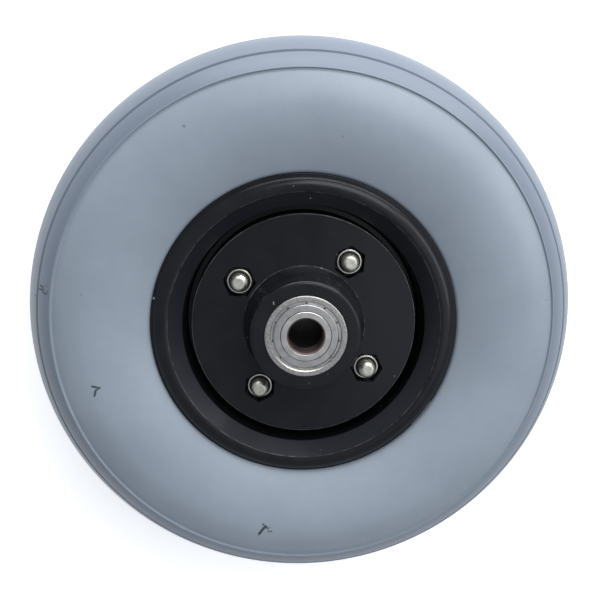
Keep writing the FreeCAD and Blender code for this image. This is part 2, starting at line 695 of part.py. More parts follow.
def make_shield(side, face):
    """Pressed shield: a flat washer near the ring's face, and a lower edge seated in the outer
    ring, where small notches let it be pressed in."""
    body = new_body(f"shield_{side}_{face}")
    hole = f"{INNER_LAND_RADIUS} + shield_inner_gap"
    rim = f"{SHIELD_SEAT_RADIUS} - shield_edge_gap"
    top = f"{RING_FACE} - shield_inset"
    step_foot = f"({SHIELD_BEAD_RADIUS} + shield_bead_slope)"
    section = outline(new_sketch(body, "profile", "XZ_Plane"), [
        corner(hole, f"{top} - shield_wall"),
        corner(f"{SHIELD_BEAD_RADIUS} - shield_wall / 2", f"{top} - shield_wall"),
        corner(f"{step_foot} - shield_wall / 2", SHIELD_SEAT),
        corner(rim, SHIELD_SEAT),
        corner(rim, f"{SHIELD_SEAT} + shield_wall"),
        corner(step_foot, f"{SHIELD_SEAT} + shield_wall"),
        corner(SHIELD_BEAD_RADIUS, top),
        corner(hole, top),
    ])
    turned(body, "washer", section)
    notch_sketch = outline(new_sketch(body, "notch_outline", "XY_Plane", f"{SHIELD_SEAT} - {OVERCUT}"), [
        corner(f"{rim} - shield_notch_depth", "-shield_notch_width / 2"),
        corner(f"{rim} + {OVERCUT}", "-shield_notch_width / 2"),
        corner(f"{rim} + {OVERCUT}", "shield_notch_width / 2"),
        corner(f"{rim} - shield_notch_depth", "shield_notch_width / 2"),
    ])
    notch = pocket(body, "notch", notch_sketch, f"shield_wall + 2 * {OVERCUT}")
    ring_of(body, "notches", [notch], "shield_notch_count", grows=False)
    return body


def make_balls(side):
    body = new_body(f"balls_{side}")
    ball = sphere(body, "ball", "ball_radius")
    ring_of(body, "set", [ball], "ball_count")
    return body


def make_cage_half(side, face):
    """One pressed half of a ball cage: flat lands for the rivets and a cup over each ball."""
    body = new_body(f"cage_{side}_{face}")
    inner = f"{BALL_CIRCLE} - cage_half_width"
    outer = f"{BALL_CIRCLE} + cage_half_width"
    cup = "ball_radius + cage_ball_gap"
    reach = f"({cup} + cage_wall + {OVERCUT})"
    turned(body, "lands", outline(new_sketch(body, "land_profile", "XZ_Plane"), [
        corner(inner, "0"),
        corner(outer, "0"),
        corner(outer, "cage_wall"),
        corner(inner, "cage_wall"),
    ]))
    shell = sphere(body, "cup_outside", f"{cup} + cage_wall")
    ring_of(body, "cups_outside", [shell], "ball_count")
    turned(body, "trim_outside", outline(new_sketch(body, "outside_profile", "XZ_Plane"), [
        corner(outer, f"-{reach}"),
        corner(f"{BALL_CIRCLE} + {reach}", f"-{reach}"),
        corner(f"{BALL_CIRCLE} + {reach}", reach),
        corner(outer, reach),
    ]), cut=True)
    turned(body, "trim_inside", outline(new_sketch(body, "inside_profile", "XZ_Plane"), [
        corner(f"{BALL_CIRCLE} - {reach}", f"-{reach}"),
        corner(inner, f"-{reach}"),
        corner(inner, reach),
        corner(f"{BALL_CIRCLE} - {reach}", reach),
    ]), cut=True)
    turned(body, "trim_below", outline(new_sketch(body, "below_profile", "XZ_Plane"), [
        corner(f"{inner} - {OVERCUT}", f"-{reach}"),
        corner(f"{outer} + {OVERCUT}", f"-{reach}"),
        corner(f"{outer} + {OVERCUT}", "0"),
        corner(f"{inner} - {OVERCUT}", "0"),
    ]), cut=True)
    hollow = sphere(body, "cup_inside", cup, cut=True)
    ring_of(body, "cups_inside", [hollow], "ball_count", grows=False)
    between = "180 / ball_count"
    hole_sketch = circle(new_sketch(body, "rivet_hole_outline", "XY_Plane", f"-{OVERCUT}"),
                         f"{BALL_CIRCLE} * cos({between})", f"{BALL_CIRCLE} * sin({between})",
                         "rivet_radius")
    hole = pocket(body, "rivet_hole", hole_sketch, f"cage_wall + 2 * {OVERCUT}")
    ring_of(body, "rivet_holes", [hole], "ball_count", grows=False)
    return body


def make_cage_rivets(side):
    """Small rivets that hold the two cage halves together between the balls."""
    body = new_body(f"cage_rivets_{side}")
    sketch = new_sketch(body, "profile", "XZ_Plane")
    spin_axis(sketch, BALL_CIRCLE)
    half = [
        corner(BALL_CIRCLE, "cage_wall + rivet_head_height"),
        corner(f"{BALL_CIRCLE} + rivet_head_radius / 2", "cage_wall + rivet_head_height"),
        corner(f"{BALL_CIRCLE} + rivet_head_radius", "cage_wall"),
        corner(f"{BALL_CIRCLE} + rivet_radius", "cage_wall"),
    ]
    below = [corner(c["x"], f"-({c['y']})") for c in reversed(half)]
    rivet = turned(body, "rivet", outline(sketch, half + below), axis="Axis0")
    ring_of(body, "set", [rivet], "ball_count")
    return body


def place(body, height, flip=False, turn="0"):
    """Puts a piece at a height on the axle line, turned about it and, if asked, end for end."""
    half_turn = FreeCAD.Rotation(FreeCAD.Vector(1, 0, 0), 180 if flip else 0)
    about_axle = FreeCAD.Rotation(FreeCAD.Vector(0, 0, 1), value(turn))
    body.Placement = FreeCAD.Placement(FreeCAD.Vector(0, 0, 0), about_axle * half_turn)
    body.setExpression("Placement.Base.z", bound(height))
    return body


def make_bearing(side):
    """A shielded ball bearing in its seat at one end of the hub."""
    in_front = side == "front"
    centre = BEARING_CENTRE if in_front else f"-({BEARING_CENTRE})"
    pieces = [
        place(make_outer_ring(side), centre),
        place(make_inner_ring(side), centre),
        place(make_balls(side), centre),
        place(make_cage_rivets(side), centre, turn="180 / ball_count"),
    ]
    for face in ("outer", "inner"):
        upward = in_front == (face == "outer")
        pieces.append(place(make_shield(side, face), centre, not upward, "shield_notch_angle"))
        pieces.append(place(make_cage_half(side, face), centre, not upward))
    return pieces


def make_wheel():
    halves = [place(make_rim_half("rim_front"), "0"), place(make_rim_half("rim_rear"), "0", True)]
    fasteners = [make_bolts(), make_nuts(), make_nut_inserts()]
    bearings = make_bearing("front") + make_bearing("rear")
    return [make_tyre(), *halves, *fasteners, make_spacer(), *bearings]


def check(pieces):
    """Stops if any step of the model failed or any piece isn't sound."""
    for item in doc.Objects:
        if "Invalid" in item.State or "Error" in item.State:
            raise RuntimeError(f"{item.Name} failed")
    for piece in pieces:
        if piece.Shape.isNull() or not piece.Shape.isValid() or not piece.Shape.Solids:
            raise RuntimeError(f"{piece.Label} is not a sound solid")


wheel = make_wheel()
doc.recompute()
check(wheel)
os.makedirs("parts", exist_ok=True)
for piece in wheel:
    piece.Shape.exportStep(f"parts/{piece.Label}.step")
    print(piece.Label, len(piece.Shape.Solids), round(piece.Shape.Volume, 2))
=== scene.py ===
import json
import math
import bmesh
import bpy
import numpy as np
from mathutils import Matrix, Vector


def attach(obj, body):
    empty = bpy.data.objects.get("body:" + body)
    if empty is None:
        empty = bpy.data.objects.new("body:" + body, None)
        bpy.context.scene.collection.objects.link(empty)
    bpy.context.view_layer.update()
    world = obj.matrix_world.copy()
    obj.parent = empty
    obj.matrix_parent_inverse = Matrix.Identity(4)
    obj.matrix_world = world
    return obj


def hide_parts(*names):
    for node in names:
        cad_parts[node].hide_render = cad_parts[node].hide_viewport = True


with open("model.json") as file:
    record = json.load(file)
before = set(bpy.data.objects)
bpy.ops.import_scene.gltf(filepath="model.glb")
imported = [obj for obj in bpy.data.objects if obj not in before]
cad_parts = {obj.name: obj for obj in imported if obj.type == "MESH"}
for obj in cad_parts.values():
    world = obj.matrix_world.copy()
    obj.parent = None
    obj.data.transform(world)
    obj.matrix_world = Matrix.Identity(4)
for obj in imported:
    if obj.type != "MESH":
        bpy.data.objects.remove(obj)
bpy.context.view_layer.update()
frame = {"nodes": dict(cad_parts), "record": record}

# Castor wheel of a wheelchair, lying on its side. The axle line is Z, the nuts are in front, at +Z.
# Sizes in this file are millimetres; a height is measured along Z from the wheel's middle plane.
MM = 0.001
TURN = 2 * math.pi
DOUBLES, SLIVERS = 2e-6, 1e-7  # metres: points closer than this are merged, edges shorter than this removed

# Tyre
TYRE_RADIUS, TYRE_HALF_WIDTH = 100.0, 25.0
WIDEST_RADIUS = 75.0
TREAD_ROUND = 26.503
SHOULDER_RADIUS, SHOULDER_STEP = 86.7, 0.85
GROOVE_RADIUS, GROOVE_WIDTH, GROOVE_DEPTH = 92.7, 1.3, 0.7
BEAD_HEIGHT, BEAD_ROUND, TYRE_GAP = 19.4, 1.9, 0.05

# Rim half. The flare at the boss's foot is larger than the CAD's fillet, measured closer in the photo.
BARREL_RADIUS, BARREL_HEIGHT, BARREL_ROUND = 47.0, 16.0, 2.5
FLANGE_RADIUS, FLANGE_HEIGHT = 53.85, 17.9
LEDGE_HEIGHT, LEDGE_ROUND = 19.2, 0.35
LIP_RADIUS, LIP_EDGE_HEIGHT, LIP_ROUND = 52.75, 19.95, 4.6
LIP_FOOT_RADIUS, LIP_FOOT_HEIGHT = 47.65, 21.2
CHANNEL_OUTER, CHANNEL_MOUTH, CHANNEL_FLOOR = 43.0, 17.0, 5.0
CHANNEL_DRAFT, CHANNEL_ROUND = 0.3, 0.5
DISC_RADIUS, DISC_HEIGHT, DISC_ROUND = 40.0, 15.0, 0.3
BOSS_SIDE, BOSS_TOP, BOSS_TOP_ROUND, BOSS_HEIGHT = 19.4, 19.0, 1.5, 29.6
FLARE_FOOT, FLARE_HEIGHT, FLARE_ROUND = 21.7, 18.6, 4.0
SEAT_RADIUS, SEAT_CHAMFER, SEAT_FLOOR, SHOULDER_BORE = 14.01, 0.3, 22.0, 12.0
CORE_INNER, CORE_OUTER, CORE_HEIGHT, CORE_DRAFT = 17.6, 37.0, 11.0, 0.25
RIB_COUNT, RIB_WIDTH, RIB_ROOT, BOLT_BOSS_RADIUS = 8, 2.6, 0.8, 8.0

# Bolts and nuts
BOLT_COUNT, BOLT_CIRCLE, BOLT_RADIUS, BOLT_HOLE = 4, 27.9, 3.0, 3.2
BOLT_TIP, TIP_CHAMFER, CHAMFER_EASE, TIP_EASE, TIP_RIM = 18.4, 1.0, 0.05, 0.06, 0.08
TIP_HOLLOW_RADIUS, TIP_HOLLOW_DEPTH = 1.1, 0.08
THREAD_PITCH, THREAD_DEPTH, THREAD_START, THREAD_FADE, THREAD_RUNOUT = 1.0, 0.1, 4.0, 0.6, 0.4
HEAD_HEIGHT, HEX_FLATS, HEX_CORNER_CUT, POCKET_FLATS = 4.0, 10.0, 0.45, 10.4
RECESS_FLOOR, RECESS_EDGE, RECESS_DEPTH, HEX_CHAMFER_DEGREES = 3.3, 3.5, 0.25, 30
NUT_SEAT, NUT_HEX_TOP, NUT_TOP = 7.7, 12.0, 13.7
COLLAR_RADIUS, COLLAR_WALL, COLLAR_ROUND, MOUTH_RADIUS, NUT_BORE = 4.6, 0.5, 0.5, 3.85, 3.02
INSERT_FLOOR, INSERT_TOP, INSERT_RADIUS, INSERT_ROUND = 11.6, 13.1, 4.05, 0.4

# Bearings. The shields' bevel and notches are larger than the CAD's, as the photo shows them.
BEARING_MIDDLE, RING_FACE = 26.0, 4.0
RING_RADIUS, RING_EDGE_ROUND, OUTER_LAND, INNER_LAND = 14.0, 0.4, 11.5, 8.5
BORE_RADIUS, BORE_CHAMFER, LAND_CHAMFER = 6.0, 0.6, 0.15
SHIELD_SEAT_RADIUS, SHIELD_SEAT, MOUTH_CHAMFER = 11.95, 2.9, 0.4
RACE_ROUND, RACE_EDGE = 2.43, 1.889
SHIELD_HOLE, SHIELD_EDGE, SHIELD_WALL, SHIELD_TOP = 8.7, 11.92, 0.3, 3.75
SHIELD_BEAD, SHIELD_BEAD_SLOPE = 10.7, 0.6
NOTCH_COUNT, NOTCH_WIDTH, NOTCH_DEPTH, NOTCH_ANGLE = 11, 0.8, 0.7, 26.4


# Sections

def corner(radius, height, rounding=0.0, arc=0.0):
    """A corner of a section. Its edge to the next corner bulges to the left where arc is a
    radius, and to the right where arc is a radius after a minus sign."""
    return radius, height, rounding, arc


def swing(centre, first, last, step):
    """Points of the shorter arc from first to last, about every step degrees."""
    a, b = first - centre, last - centre
    sweep = math.atan2(a.x * b.y - a.y * b.x, a.dot(b))
    count = max(3, math.ceil(abs(math.degrees(sweep)) / step))
    return [centre + Matrix.Rotation(sweep * i / count, 2) @ a for i in range(count + 1)]


def run_between(first, last, arc, step):
    """The edge from one corner to the next, as points."""
    if not arc:
        return [first, last]
    along = last - first
    left = Vector((-along.y, along.x)).normalized() * math.copysign(1, arc)
    depth = math.sqrt(arc * arc - along.length_squared / 4)
    return swing((first + last) / 2 - left * depth, first, last, step)


def section(corners, step=4.0, bend_step=11.0, hold=0.12):
    """A closed outline with its roundings, and points close to each edge's ends that keep flat faces flat.
    Long arcs have a point about every step degrees, and roundings about every bend_step degrees."""
    points = [Vector(c[:2]) for c in corners]
    count = len(corners)
    runs = [run_between(points[i], points[(i + 1) % count], corners[i][3], step) for i in range(count)]
    bends = []
    for i, (_, _, rounding, _) in enumerate(corners):
        here, before, after = points[i], runs[i - 1], runs[i]
        if not rounding:
            bends.append([here])
            continue
        back, ahead = (before[-2] - here).normalized(), (after[1] - here).normalized()
        half = back.angle(ahead) / 2
        reach = rounding / math.tan(half)
        centre = here + (back + ahead).normalized() * rounding / math.sin(half)
        bends.append(swing(centre, here + back * reach, here + ahead * reach, bend_step))
    outline = []
    apart = 1e-4  # a point this close to a rounding's end would double it
    for i in range(count):
        outline += bends[i]
        start, end, following = bends[i][-1], bends[(i + 1) % count][0], points[(i + 1) % count]
        length = (end - start).length
        if corners[i][3]:
            after, until = (start - points[i]).length + apart, (end - following).length + apart
            outline += [p for p in runs[i][1:-1] if (p - points[i]).length > after and (p - following).length > until]
        elif length > 4 * hold:
            outline += [start.lerp(end, hold / length), start.lerp(end, 1 - hold / length)]
    return [(p.x, p.y) for p in outline]


# Meshes

def new_piece(name, vertices, faces):
    """A mesh object from points in millimetres, with its doubles merged and its faces outward."""
    mesh = bpy.data.meshes.new(name)
    mesh.from_pydata([tuple(np.array(v) * MM) for v in vertices], [], faces)
    piece = bpy.data.objects.new(name, mesh)
    bpy.context.scene.collection.objects.link(piece)
    close_up(piece)
    return piece


def close_up(piece):
    """Merges doubles and points every face outward."""
    work = bmesh.new()
    work.from_mesh(piece.data)
    bmesh.ops.remove_doubles(work, verts=work.verts, dist=DOUBLES)
    bmesh.ops.dissolve_degenerate(work, edges=work.edges, dist=SLIVERS)
    bmesh.ops.recalc_face_normals(work, faces=work.faces)
    work.to_mesh(piece.data)
    work.free()


def spun(name, rows, angles=256, middle=0.0, closed=True):
    """Turns rows about an upright line through (middle, 0). A row is a radius and a height, or a
    function of the angle that gives them; angles is how many steps a full turn has, or a list."""
    full = isinstance(angles, int)
    angles = [TURN * i / angles for i in range(angles)] if full else angles
    vertices = []
    for angle in angles:
        for row in rows:
            radius, height = row(angle) if callable(row) else row
            vertices.append((middle + radius * math.cos(angle), radius * math.sin(angle), height))
    count, faces = len(rows), []
    for i in range(len(angles) if full else len(angles) - 1):
        a, b = i * count, (i + 1) % len(angles) * count
        for j in range(count if closed else count - 1):
            k = (j + 1) % count
            faces.append((a + j, b + j, b + k, a + k))
    return new_piece(name, vertices, faces)


def prism(name, outline, low, high):
    """A straight block with the given outline."""
    count = len(outline)
    vertices = [(x, y, low) for x, y in outline] + [(x, y, high) for x, y in outline]
    sides = [(i, (i + 1) % count, (i + 1) % count + count, i + count) for i in range(count)]
    return new_piece(name, vertices, sides + [tuple(range(count)), tuple(range(count, 2 * count))])


def circle_outline(middle, radius, steps):
    """A circle, its middle on the X axis, as points."""
    return [(middle + radius * math.cos(TURN * i / steps), radius * math.sin(TURN * i / steps))
            for i in range(steps)]


def hexagon_outline(middle, flats):
    """A hexagon with two of its flats square to the line from the axle."""
    reach = flats / math.sqrt(3)
    return [(middle + reach * math.cos(TURN * (i + 0.5) / 6), reach * math.sin(TURN * (i + 0.5) / 6))
            for i in range(6)]


def hex_reach(angle):
    """How far a nut's or a bolt head's side is from its middle in one direction."""
    return HEX_FLATS / 2 / math.cos((angle + math.pi / 6) % (math.pi / 3) - math.pi / 6)


def settled(piece):
    """Turns a piece with live modifiers into a plain mesh."""
    ready = bpy.context.evaluated_depsgraph_get()
    mesh = bpy.data.meshes.new_from_object(piece.evaluated_get(ready))
    piece.modifiers.clear()
    piece.data = mesh


def combined(piece, operation, other):
    """Joins another piece to this one or cuts it out, and removes the other."""
    cut = piece.modifiers.new(operation.lower(), "BOOLEAN")
    cut.operation, cut.solver, cut.object = operation, "EXACT", other
    settled(piece)
    bpy.data.objects.remove(other)


def mirrored_copy(piece, name):
    """The same piece at the wheel's other side, turned half round the X axis."""
    twin = bpy.data.objects.new(name, piece.data.copy())
    twin.data.transform(Matrix.Rotation(math.pi, 4, "X"))
    bpy.context.scene.collection.objects.link(twin)
    return twin


# Shader and geometry nodes

def add(tree, kind, sockets=None, **settings):
    """Adds one node with its settings. A socket is named or numbered, and takes a value, another node or
    one of its outputs."""
    made = tree.nodes.new(kind)
    for name, setting in settings.items():
        setattr(made, name, setting)
    for name, given in (sockets or {}).items():
        socket = made.inputs[name] if isinstance(name, int) else next(
            s for s in made.inputs if s.enabled and s.name == name)
        if isinstance(given, bpy.types.Node):
            given = next(s for s in given.outputs if s.enabled)
        if isinstance(given, bpy.types.NodeSocket):
            tree.links.new(given, socket)
        else:
            socket.default_value = given
    return made


def ring_tree():
    """Repeats a piece evenly round the axle line and gives it its material."""
    tree = bpy.data.node_groups.new("copies_round_the_axle", "GeometryNodeTree")
    for name, kind in (("Piece", "Geometry"), ("Copies", "Int"), ("First angle", "Float"), ("Material", "Material")):
        tree.interface.new_socket(name, in_out="INPUT", socket_type="NodeSocket" + kind)
    tree.interface.new_socket("Ring", in_out="OUTPUT", socket_type="NodeSocketGeometry")
    given = add(tree, "NodeGroupInput").outputs
    step = add(tree, "ShaderNodeMath", {0: TURN, 1: given["Copies"]}, operation="DIVIDE")
    turn = add(tree, "ShaderNodeMath", {0: add(tree, "GeometryNodeInputIndex"), 1: step, 2: given["First angle"]},
               operation="MULTIPLY_ADD")
    points = add(tree, "GeometryNodePoints", {"Count": given["Copies"]})
    one = add(tree, "GeometryNodeGeometryToInstance", {"Geometry": given["Piece"]})
    copies = add(tree, "GeometryNodeInstanceOnPoints", {
        "Points": points, "Instance": one, "Rotation": add(tree, "ShaderNodeCombineXYZ", {"Z": turn})})
    whole = add(tree, "GeometryNodeMergeByDistance", {
        "Geometry": add(tree, "GeometryNodeRealizeInstances", {"Geometry": copies}), "Distance": DOUBLES})
    painted = add(tree, "GeometryNodeSetMaterial", {"Geometry": whole, "Material": given["Material"]})
    add(tree, "NodeGroupOutput", {"Ring": painted})
    return tree


def repeated(piece, count, material=None, first_angle=0.0):
    """Repeats a piece round the axle line and leaves it a plain mesh."""
    ring = piece.modifiers.new("ring", "NODES")
    ring.node_group = RING_TREE
    sockets = {item.name: item.identifier for item in RING_TREE.interface.items_tree if item.in_out == "INPUT"}
    ring[sockets["Copies"]] = count
    ring[sockets["First angle"]] = math.radians(first_angle)
    ring[sockets["Material"]] = material
    settled(piece)
    close_up(piece)
    return piece


RING_TREE = ring_tree()


# Materials

def colour(code):
    """The linear colour of an sRGB hex code."""
    parts = [int(code[i:i + 2], 16) / 255 for i in (1, 3, 5)]
    return tuple(p / 12.92 if p <= 0.04045 else ((p + 0.055) / 1.055) ** 2.4 for p in parts) + (1.0,)


def per_mm(size):
    """The noise scale at which features are about this many millimetres across."""
    return 1 / (size * MM)


def new_material(name, **fixed):
    """A material, its node tree and the place on the object. Numbers that are the same all over are set."""
    made = bpy.data.materials.new(name)
    made.use_nodes = True
    tree = made.node_tree
    for socket, given in fixed.items():
        tree.nodes["Principled BSDF"].inputs[socket.replace("_", " ")].default_value = given
    return made, tree, add(tree, "ShaderNodeTexCoord").outputs["Object"]


def finish_with(tree, base, roughness, height, strength, depth_mm):
    """Links the colour, the gloss and the relief to the shader."""
    shader = tree.nodes["Principled BSDF"]
    relief = add(tree, "ShaderNodeBump", {"Height": height, "Strength": strength, "Distance": depth_mm * MM})
    tree.links.new(base.outputs[2], shader.inputs["Base Color"])
    tree.links.new(roughness.outputs[0], shader.inputs["Roughness"])
    tree.links.new(relief.outputs[0], shader.inputs["Normal"])


def ring_place(tree, place):
    """How far a place is from the axle line, and its height over the middle plane."""
    parts = add(tree, "ShaderNodeSeparateXYZ", {"Vector": place}).outputs
    flat = add(tree, "ShaderNodeCombineXYZ", {"X": parts["X"], "Y": parts["Y"]})
    radius = add(tree, "ShaderNodeVectorMath", {0: flat}, operation="LENGTH").outputs["Value"]
    return radius, add(tree, "ShaderNodeMath", {0: parts["Z"]}, operation="ABSOLUTE")


def mottled(tree, pattern, low, high, under, over, most=1.0):
    """One colour over another, up to the most where a pattern rises from low to high."""
    share = add(tree, "ShaderNodeMapRange", {"Value": pattern, "From Min": low, "From Max": high, "To Max": most})
    return add(tree, "ShaderNodeMix", {"Factor": share, "A": under, "B": over}, data_type="RGBA")


def ring_mask(tree, radius, height, at_mm, low_mm):
    """A fine line round the axle at one radius, on faces above a height: full to 0.09 mm each side of the
    radius and gone at 0.24 mm."""
    away = add(tree, "ShaderNodeMath", {0: radius, 1: at_mm * MM}, operation="SUBTRACT")
    away = add(tree, "ShaderNodeMath", {0: away}, operation="ABSOLUTE")
    line = add(tree, "ShaderNodeMapRange", {"Value": away, "From Min": 0.09 * MM, "From Max": 0.24 * MM,
                                            "To Min": 1.0, "To Max": 0.0})
    above = add(tree, "ShaderNodeMath", {0: height, 1: low_mm * MM}, operation="GREATER_THAN")
    return add(tree, "ShaderNodeMath", {0: line, 1: above}, operation="MULTIPLY")


def stroke_mask(tree, place, first, last, width, strength):
    """How strongly a smeared line between two points, in millimetres, covers a place. It fades out across
    its edge, from 0.35 to 0.65 of its width."""
    start, along = Vector(first) * MM, (Vector(last) - Vector(first)) * MM
    away = add(tree, "ShaderNodeVectorMath", {0: place, 1: start}, operation="SUBTRACT")
    if along.length:
        share = add(tree, "ShaderNodeVectorMath", {0: away, 1: along / along.length_squared},
                    operation="DOT_PRODUCT")
        held = add(tree, "ShaderNodeMath", {0: share.outputs["Value"], 1: 0.0}, operation="ADD", use_clamp=True)
        part = add(tree, "ShaderNodeVectorMath", {0: along, "Scale": held}, operation="SCALE")
        away = add(tree, "ShaderNodeVectorMath", {0: away, 1: part}, operation="SUBTRACT")
    far = add(tree, "ShaderNodeVectorMath", {0: away}, operation="LENGTH").outputs["Value"]
    return add(tree, "ShaderNodeMapRange", {"Value": far, "From Min": width * MM * 0.35,
                                            "From Max": width * MM * 0.65, "To Min": strength, "To Max": 0.0})


def strokes(tree, place, marks):
    """Every mark of a list, the strongest one at each place."""
    found = stroke_mask(tree, place, *marks[0])
    for mark in marks[1:]:
        found = add(tree, "ShaderNodeMath", {0: found, 1: stroke_mask(tree, place, *mark)}, operation="MAXIMUM")
    return found


# Most of a noise lies between these two
NOISE_LOW, NOISE_HIGH = 0.3, 0.7

# Scuffs and dirt on the tyre: two points, width and strength
SCUFFS = [
    ((-83.0, -38.7, 19.3), (-81.8, -38.2, 20.5), 0.75, 0.95), ((-81.8, -38.2, 20.5), (-80.4, -36.3, 22.0), 0.4, 0.35),
    ((-82.7, -40.2, 19.0), (-81.1, -38.8, 20.8), 0.7, 0.9), ((-81.2, -39.7, 20.4), (-79.6, -39.5, 21.6), 0.65, 0.85),
    ((-79.6, -39.5, 21.6), (-79.2, -38.2, 22.2), 0.5, 0.6), ((-83.1, -43.5, 17.1), (-83.1, -43.5, 17.1), 0.9, 0.7),
    ((-49.5, -57.3, 25.0), (-47.1, -56.3, 25.0), 0.75, 0.85), ((-47.1, -56.3, 25.0), (-47.7, -58.0, 25.0), 0.6, 0.8),
    ((-47.7, -58.0, 25.0), (-47.0, -59.8, 25.0), 0.75, 0.85),
    ((30.2, -73.6, 24.9), (30.1, -71.8, 24.9), 0.5, 0.45), ((30.1, -71.8, 24.9), (30.2, -69.0, 24.9), 0.9, 0.9),
    ((30.2, -69.0, 24.9), (30.3, -68.0, 24.8), 1.1, 0.9), ((30.3, -68.0, 24.8), (31.4, -68.2, 24.8), 0.9, 0.8),
    ((29.2, -67.8, 24.8), (29.2, -67.8, 24.8), 0.9, 0.8), ((32.3, -69.1, 24.8), (33.3, -68.4, 24.8), 0.7, 0.7),
    ((31.8, -67.5, 24.7), (31.8, -67.5, 24.7), 0.7, 0.6), ((30.0, -66.7, 24.7), (30.0, -64.6, 24.6), 0.35, 0.4),
    ((-71.2, 33.5, 24.7), (-71.2, 33.5, 24.7), 0.8, 0.6), ((-69.3, -31.7, 25.0), (-69.3, -31.7, 25.0), 0.7, 0.3),
    ((-27.8, 60.3, 24.1), (-27.8, 60.3, 24.1), 0.7, 0.3), ((62.2, 56.6, 23.3), (63.0, 57.5, 23.1), 0.4, 0.35),
]

# Chips and trimmed flash on the front rim, the same way
CHIPS = [
    ((-49.1, -20.7, 19.2), (-49.1, -20.7, 19.2), 0.8, 0.8), ((53.5, 3.7, 19.2), (53.6, -1.6, 19.2), 0.35, 0.4),
    ((53.6, -1.6, 19.2), (53.2, -7.0, 19.2), 0.35, 0.4), ((-15.7, 3.5, 29.6), (-15.2, 3.0, 29.6), 0.45, 0.7),
    ((-23.9, -32.0, 15.0), (-22.9, -32.7, 15.0), 0.45, 0.4),
]

# Painted highlights, drawn as pale lines round the rim: radius, lowest height, where in the patchy noise they start,
# and how pale they are at least and at most. A painted highlight on the disc's sharp trimmed edge, partly its burr,
# a painted highlight at the foot of the boss's flare, partly the mould's witness line, and a painted highlight on the
# lip's foot.
RIM_PAINTED_HIGHLIGHTS = [
    (DISC_RADIUS - 0.1, DISC_HEIGHT - 0.3, 0.35, 0.08, 0.34),
    (FLARE_FOOT, DISC_HEIGHT - 0.2, 0.45, 0.0, 0.22),
    (LIP_FOOT_RADIUS, LIP_FOOT_HEIGHT - 0.4, 0.4, 0.0, 0.14),
]

# Painted shade and painted light on the rim, by radius and by whether it lies above or below the channel's mouth:
# painted shade, near black, in the deep ring channel, and a paler tone standing in for light in the dish round it
RIM_PAINTED_SHADE_AND_LIGHT = [
    (DISC_RADIUS - 0.05, CHANNEL_OUTER + 0.05, "LESS_THAN", "#0F1013"),
    (CHANNEL_OUTER + 0.05, LIP_FOOT_RADIUS - 0.3, "GREATER_THAN", "#212327"),
]


def foam_skin():
    """Self-skinning polyurethane foam, cast in a polished mould: an even blue-grey satin skin with faint
    clouds of colour, a very fine grain, painted shade that darkens the tread band, and dark scuffs."""
    made, tree, place = new_material("polyurethane foam skin, cast", IOR=1.48, Specular_IOR_Level=0.6)
    radius, _ = ring_place(tree, place)
    clouds = add(tree, "ShaderNodeTexNoise", {"Vector": place, "Scale": per_mm(38), "Detail": 3.0})
    flecks = add(tree, "ShaderNodeTexNoise", {"Vector": place, "Scale": per_mm(3.5), "Roughness": 0.6})
    # the skin's own grain is about 0.1 mm and wouldn't show, so it is drawn at 0.9 mm
    grain = add(tree, "ShaderNodeTexNoise", {"Vector": place, "Scale": per_mm(0.9), "Detail": 3.0, "Roughness": 0.6})
    ripples = add(tree, "ShaderNodeTexNoise", {"Vector": place, "Scale": per_mm(14)})
    base = mottled(tree, clouds, 0.35, 0.65, colour("#939CA5"), colour("#9BA5AD"))
    base = mottled(tree, flecks, NOISE_LOW, NOISE_HIGH, base, colour("#86929F"), 0.18)
    # the tread band past the shoulder is painted darker: painted shade
    tread_shade_from, tread_shade_to = (SHOULDER_RADIUS - 0.2) * MM, (SHOULDER_RADIUS + 0.8) * MM
    base = mottled(tree, radius, tread_shade_from, tread_shade_to, base, colour("#6B7683"), 0.85)
    # the scuffs' edges are torn by up to 0.35 mm each way
    edge = add(tree, "ShaderNodeTexNoise", {"Vector": place, "Scale": per_mm(0.7), "Roughness": 0.6})
    edge = add(tree, "ShaderNodeVectorMath", {0: edge.outputs["Color"], 1: (0.5,) * 3}, operation="SUBTRACT")
    bent = add(tree, "ShaderNodeVectorMath", {0: edge, 1: (0.7 * MM,) * 3, 2: place}, operation="MULTIPLY_ADD")
    dirt = strokes(tree, bent.outputs[0], SCUFFS)
    base = add(tree, "ShaderNodeMix", {"Factor": dirt, "A": base, "B": colour("#1B1E24")}, data_type="RGBA")
    gloss = add(tree, "ShaderNodeMapRange", {"Value": clouds, "From Min": NOISE_LOW, "From Max": NOISE_HIGH,
                                             "To Min": 0.38, "To Max": 0.46})
    relief = add(tree, "ShaderNodeMath", {0: ripples, 1: 3.0, 2: grain}, operation="MULTIPLY_ADD")
    finish_with(tree, base, gloss, relief, 0.22, 0.12)
    return made


